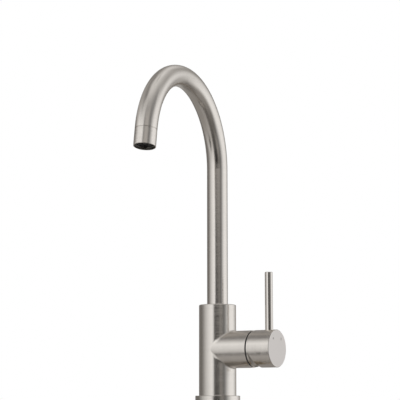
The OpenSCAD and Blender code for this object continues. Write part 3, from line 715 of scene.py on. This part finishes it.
def make_fixings():
    """The threaded shank under the deck, and the two screws that press the washer up."""
    bar = make_threaded_bar()
    low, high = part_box("mounting_shank")
    shank = grow(bar, "threaded_shank", {
        "Radius": high.x, "Bore": high.x - SHANK_WALL, "Foot": low.z, "Length": high.z - low.z,
        "Pitch": SHANK_PITCH, "Depth": SHANK_THREAD_DEPTH, "Chamfer": SHANK_CHAMFER,
        "Sides": SHANK_SIDES, "Material": MACHINED_BRASS})
    stand_in(shank, "mounting_shank")
    low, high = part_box("clamp_screws")
    foot = low.z + CLAMP_HEAD_H
    slot_width, slot_depth = DRIVER_SLOT
    screws = grow(make_clamp_screws(bar), "clamp_screw_pair", {
        "Radius": CLAMP_R, "Foot": foot, "Length": high.z - foot,
        "Pitch": CLAMP_PITCH, "Depth": CLAMP_THREAD_DEPTH, "Chamfer": CLAMP_THREAD_DEPTH,
        "Sides": CLAMP_SIDES, "Material": SCREW_STEEL,
        "Head Radius": high.y, "Head Height": CLAMP_HEAD_H, "Head Edge": CLAMP_HEAD_EDGE,
        "Slot Width": slot_width, "Slot Depth": slot_depth, "Line Radius": high.x - high.y})
    stand_in(screws, "clamp_screws")


# ---- studio ----

WHITE = (1, 1, 1)
FILL = (0.5, 0.5, 0.5)           # the world as matt surfaces see it
FLOOR_Z = CAD_BOX[0][2] - 0.5 * MM
FLOOR_R = 6.0
FLOOR_SIDES = 96
FLOOR_FADE = (0.5, 1.8)          # metres from the faucet, from plain floor to white
FLOOR_COLOUR = (0.82, 0.82, 0.81)
FLOOR_NOISE_SCALE = 6.0
FLOOR_LEVELS = (0.2, 0.8, 0.97, 1.0)     # noise from and to, then shade from and to
FLOOR_ROUGHNESS = 0.9
FLOOR_SPECULAR = 0.1
LAMPS = (                        # name, place and power in watts
    ("left lamp", (-1.6, -1.4, 1.5), 30),
    ("right lamp", (1.8, 0.4, 1.2), 24),
)
LAMP_SIZE = 1.4
LAMP_AIM = Vector((0, 0, 0.15))

# Each card: name, azimuth from the camera's side (right is plus), half width, side softness,
# elevation, half height, end softness, all in degrees, and its brightness. Later cards stand
# in front.
SURROUND = 0.14
CARDS = (
    ("ceiling", -38, 169, 33, 80, 28, 94, 0.82),
    ("ceiling gap", -111, 45, 11, 50, 19, 19, 0.01),
    ("back right", 138, 19, 23, 43, 34, 10, 0.98),
    ("back left", -169, 71, 47, 21, 42, 30, 0.25),
    ("low left", -90, 61, 10, -22, 52, 110, 0.57),
    ("low back", 173, 118, 108, -35, 32, 14, 0.29),
    ("left window", -10, 95, 53, 13, 24, 56, 1.15),
    ("left floor edge", -61, 9, 9, -27, 9, 18, 0.00),
    ("front", 28, 53, 12, 6, 40, 54, 0.01),
    ("front top", 8, 24, 24, 27, 19, 9, 0.46),
    ("front right", 22, 12, 9, -17, 16, 50, 0.35),
    ("right window", 94, 39, 58, 0, 30, 29, 1.01),
    ("low back right", 157, 16, 33, -25, 26, 31, 0.11),
    ("back left gap", -126, 47, 108, 4, 16, 9, 0.16),
    ("behind", 165, 25, 23, -4, 5, 26, 0.54),
    ("back top", 160, 17, 40, 54, 14, 31, 0.83),
)
CARD_INPUTS = ("Azimuth", "Half Width", "Side Softness", "Elevation", "Half Height",
               "End Softness")
DARK_TINT = (1.07, 1.0, 0.925)


def make_floor():
    """A round pale floor, which fades to white far from the faucet."""
    mesh = bpy.data.meshes.new("floor")
    angles = (2 * math.pi * k / FLOOR_SIDES for k in range(FLOOR_SIDES))
    ring = [(FLOOR_R * math.cos(a), FLOOR_R * math.sin(a), FLOOR_Z) for a in angles]
    mesh.from_pydata(ring, [], [list(range(FLOOR_SIDES))])
    floor = bpy.data.objects.new("floor", mesh)
    bpy.context.scene.collection.objects.link(floor)
    material, t, shader = new_material("pale floor")
    place = t.add("ShaderNodeTexCoord").outputs["Object"]
    tone = t.ramp(t.noise(place, FLOOR_NOISE_SCALE, detail=3.0), *FLOOR_LEVELS)
    t.feed(shader.inputs["Base Color"], tinted(t, FLOOR_COLOUR, tone))
    shader.inputs["Roughness"].default_value = FLOOR_ROUGHNESS
    shader.inputs["Specular IOR Level"].default_value = FLOOR_SPECULAR
    far = t.ramp(t.vector("LENGTH", place), *FLOOR_FADE)
    seen = t.add("ShaderNodeLightPath").outputs["Is Camera Ray"]
    white = t.add("ShaderNodeEmission", {"Color": rgba(WHITE), "Strength": 1.0})
    blend = t.add("ShaderNodeMixShader", {
        0: t.times(far, seen), 1: shader.outputs[0], 2: white.outputs[0]})
    end = material.node_tree.nodes["Material Output"]
    t.feed(end.inputs["Surface"], blend.outputs[0])
    mesh.materials.append(material)
    floor.visible_glossy = False


def edge_mask(t, distance, half_size, softness):
    """1 inside half_size, 0 outside, with a soft step between."""
    inside = t.minus(half_size, t.math("ABSOLUTE", distance))
    return t.ramp(t.plus(t.over(inside, softness), 0.5), 0.0, 1.0)


def make_soft_card():
    """A soft-edged card in the studio: how much of it lies in a direction."""
    labels = ("Right", "Back", "Up", *CARD_INPUTS)
    t, given, out = open_group(
        SHADER_TREE, "soft card", dict.fromkeys(labels, "Float"), {"Mask": "Float"})
    azimuth = t.math("DEGREES", t.math("ARCTAN2", given["Right"], given["Back"]))
    elevation = t.math("DEGREES", t.math("ARCSINE", given["Up"]))
    apart = t.minus(azimuth, given["Azimuth"])
    sideways = t.minus(t.math("FLOORED_MODULO", t.plus(apart, 180.0), 360.0), 180.0)
    above = t.minus(elevation, given["Elevation"])
    sides = edge_mask(t, sideways, given["Half Width"], given["Side Softness"])
    ends = edge_mask(t, above, given["Half Height"], given["End Softness"])
    t.feed(out["Mask"], t.times(sides, ends))
    return t.tree


def card_colour(brightness):
    """Dim cards are warm, and bright ones are white."""
    share = min(brightness, 1.0)
    tint = (dark + (white - dark) * share for dark, white in zip(DARK_TINT, WHITE))
    return rgba(brightness * part for part in tint)


def make_world():
    """White to the camera and through clear things, plain grey to matt surfaces.

    Metal sees the studio's cards.
    """
    world = bpy.data.worlds.new("studio")
    bpy.context.scene.world = world
    world.use_nodes = True
    t = Tree(world.node_tree)
    card = make_soft_card()
    direction = t.add("ShaderNodeTexCoord").outputs["Generated"]
    right = (math.cos(CAMERA_TURN), math.sin(CAMERA_TURN), 0)
    back = (math.sin(CAMERA_TURN), -math.cos(CAMERA_TURN), 0)
    aim = {
        "Right": t.vector("DOT_PRODUCT", direction, right),
        "Back": t.vector("DOT_PRODUCT", direction, back),
        "Up": t.split(direction)["Z"],
    }
    studio = card_colour(SURROUND)
    for name, *where, brightness in CARDS:
        mask = t.group(card, {**aim, **dict(zip(CARD_INPUTS, where))})["Mask"]
        studio = t.mix(mask, studio, card_colour(brightness))
    light = t.add("ShaderNodeLightPath").outputs
    white = t.math("MAXIMUM", light["Is Camera Ray"], light["Is Transmission Ray"])
    reflected = t.mix(light["Is Glossy Ray"], rgba(FILL), studio)
    background = world.node_tree.nodes["Background"]
    t.feed(background.inputs["Color"], t.mix(white, reflected, rgba(WHITE)))
    background.inputs["Strength"].default_value = 1.0


def soft_lamp(name, place, power):
    """A square soft lamp that looks at the faucet's middle and lights only matt surfaces."""
    data = bpy.data.lights.new(name, "AREA")
    data.energy = power
    data.size = LAMP_SIZE
    lamp = bpy.data.objects.new(name, data)
    lamp.location = place
    lamp.rotation_euler = (LAMP_AIM - Vector(place)).to_track_quat("-Z", "Y").to_euler()
    lamp.visible_glossy = False
    lamp.visible_camera = False
    bpy.context.scene.collection.objects.link(lamp)


def make_camera():
    data = bpy.data.cameras.new("photo view")
    data.lens = LENS
    data.sensor_width = SENSOR_WIDTH
    camera = bpy.data.objects.new("photo view", data)
    camera.location = CAMERA_AT
    camera.rotation_euler = (math.pi / 2 + CAMERA_TILT, 0, CAMERA_TURN)
    bpy.context.scene.collection.objects.link(camera)
    bpy.context.scene.camera = camera


def make_studio():
    bpy.context.scene.view_settings.view_transform = "Standard"
    make_world()
    make_floor()
    for lamp in LAMPS:
        soft_lamp(*lamp)
    make_camera()


make_studio()
dress_nodes()
make_fixings()
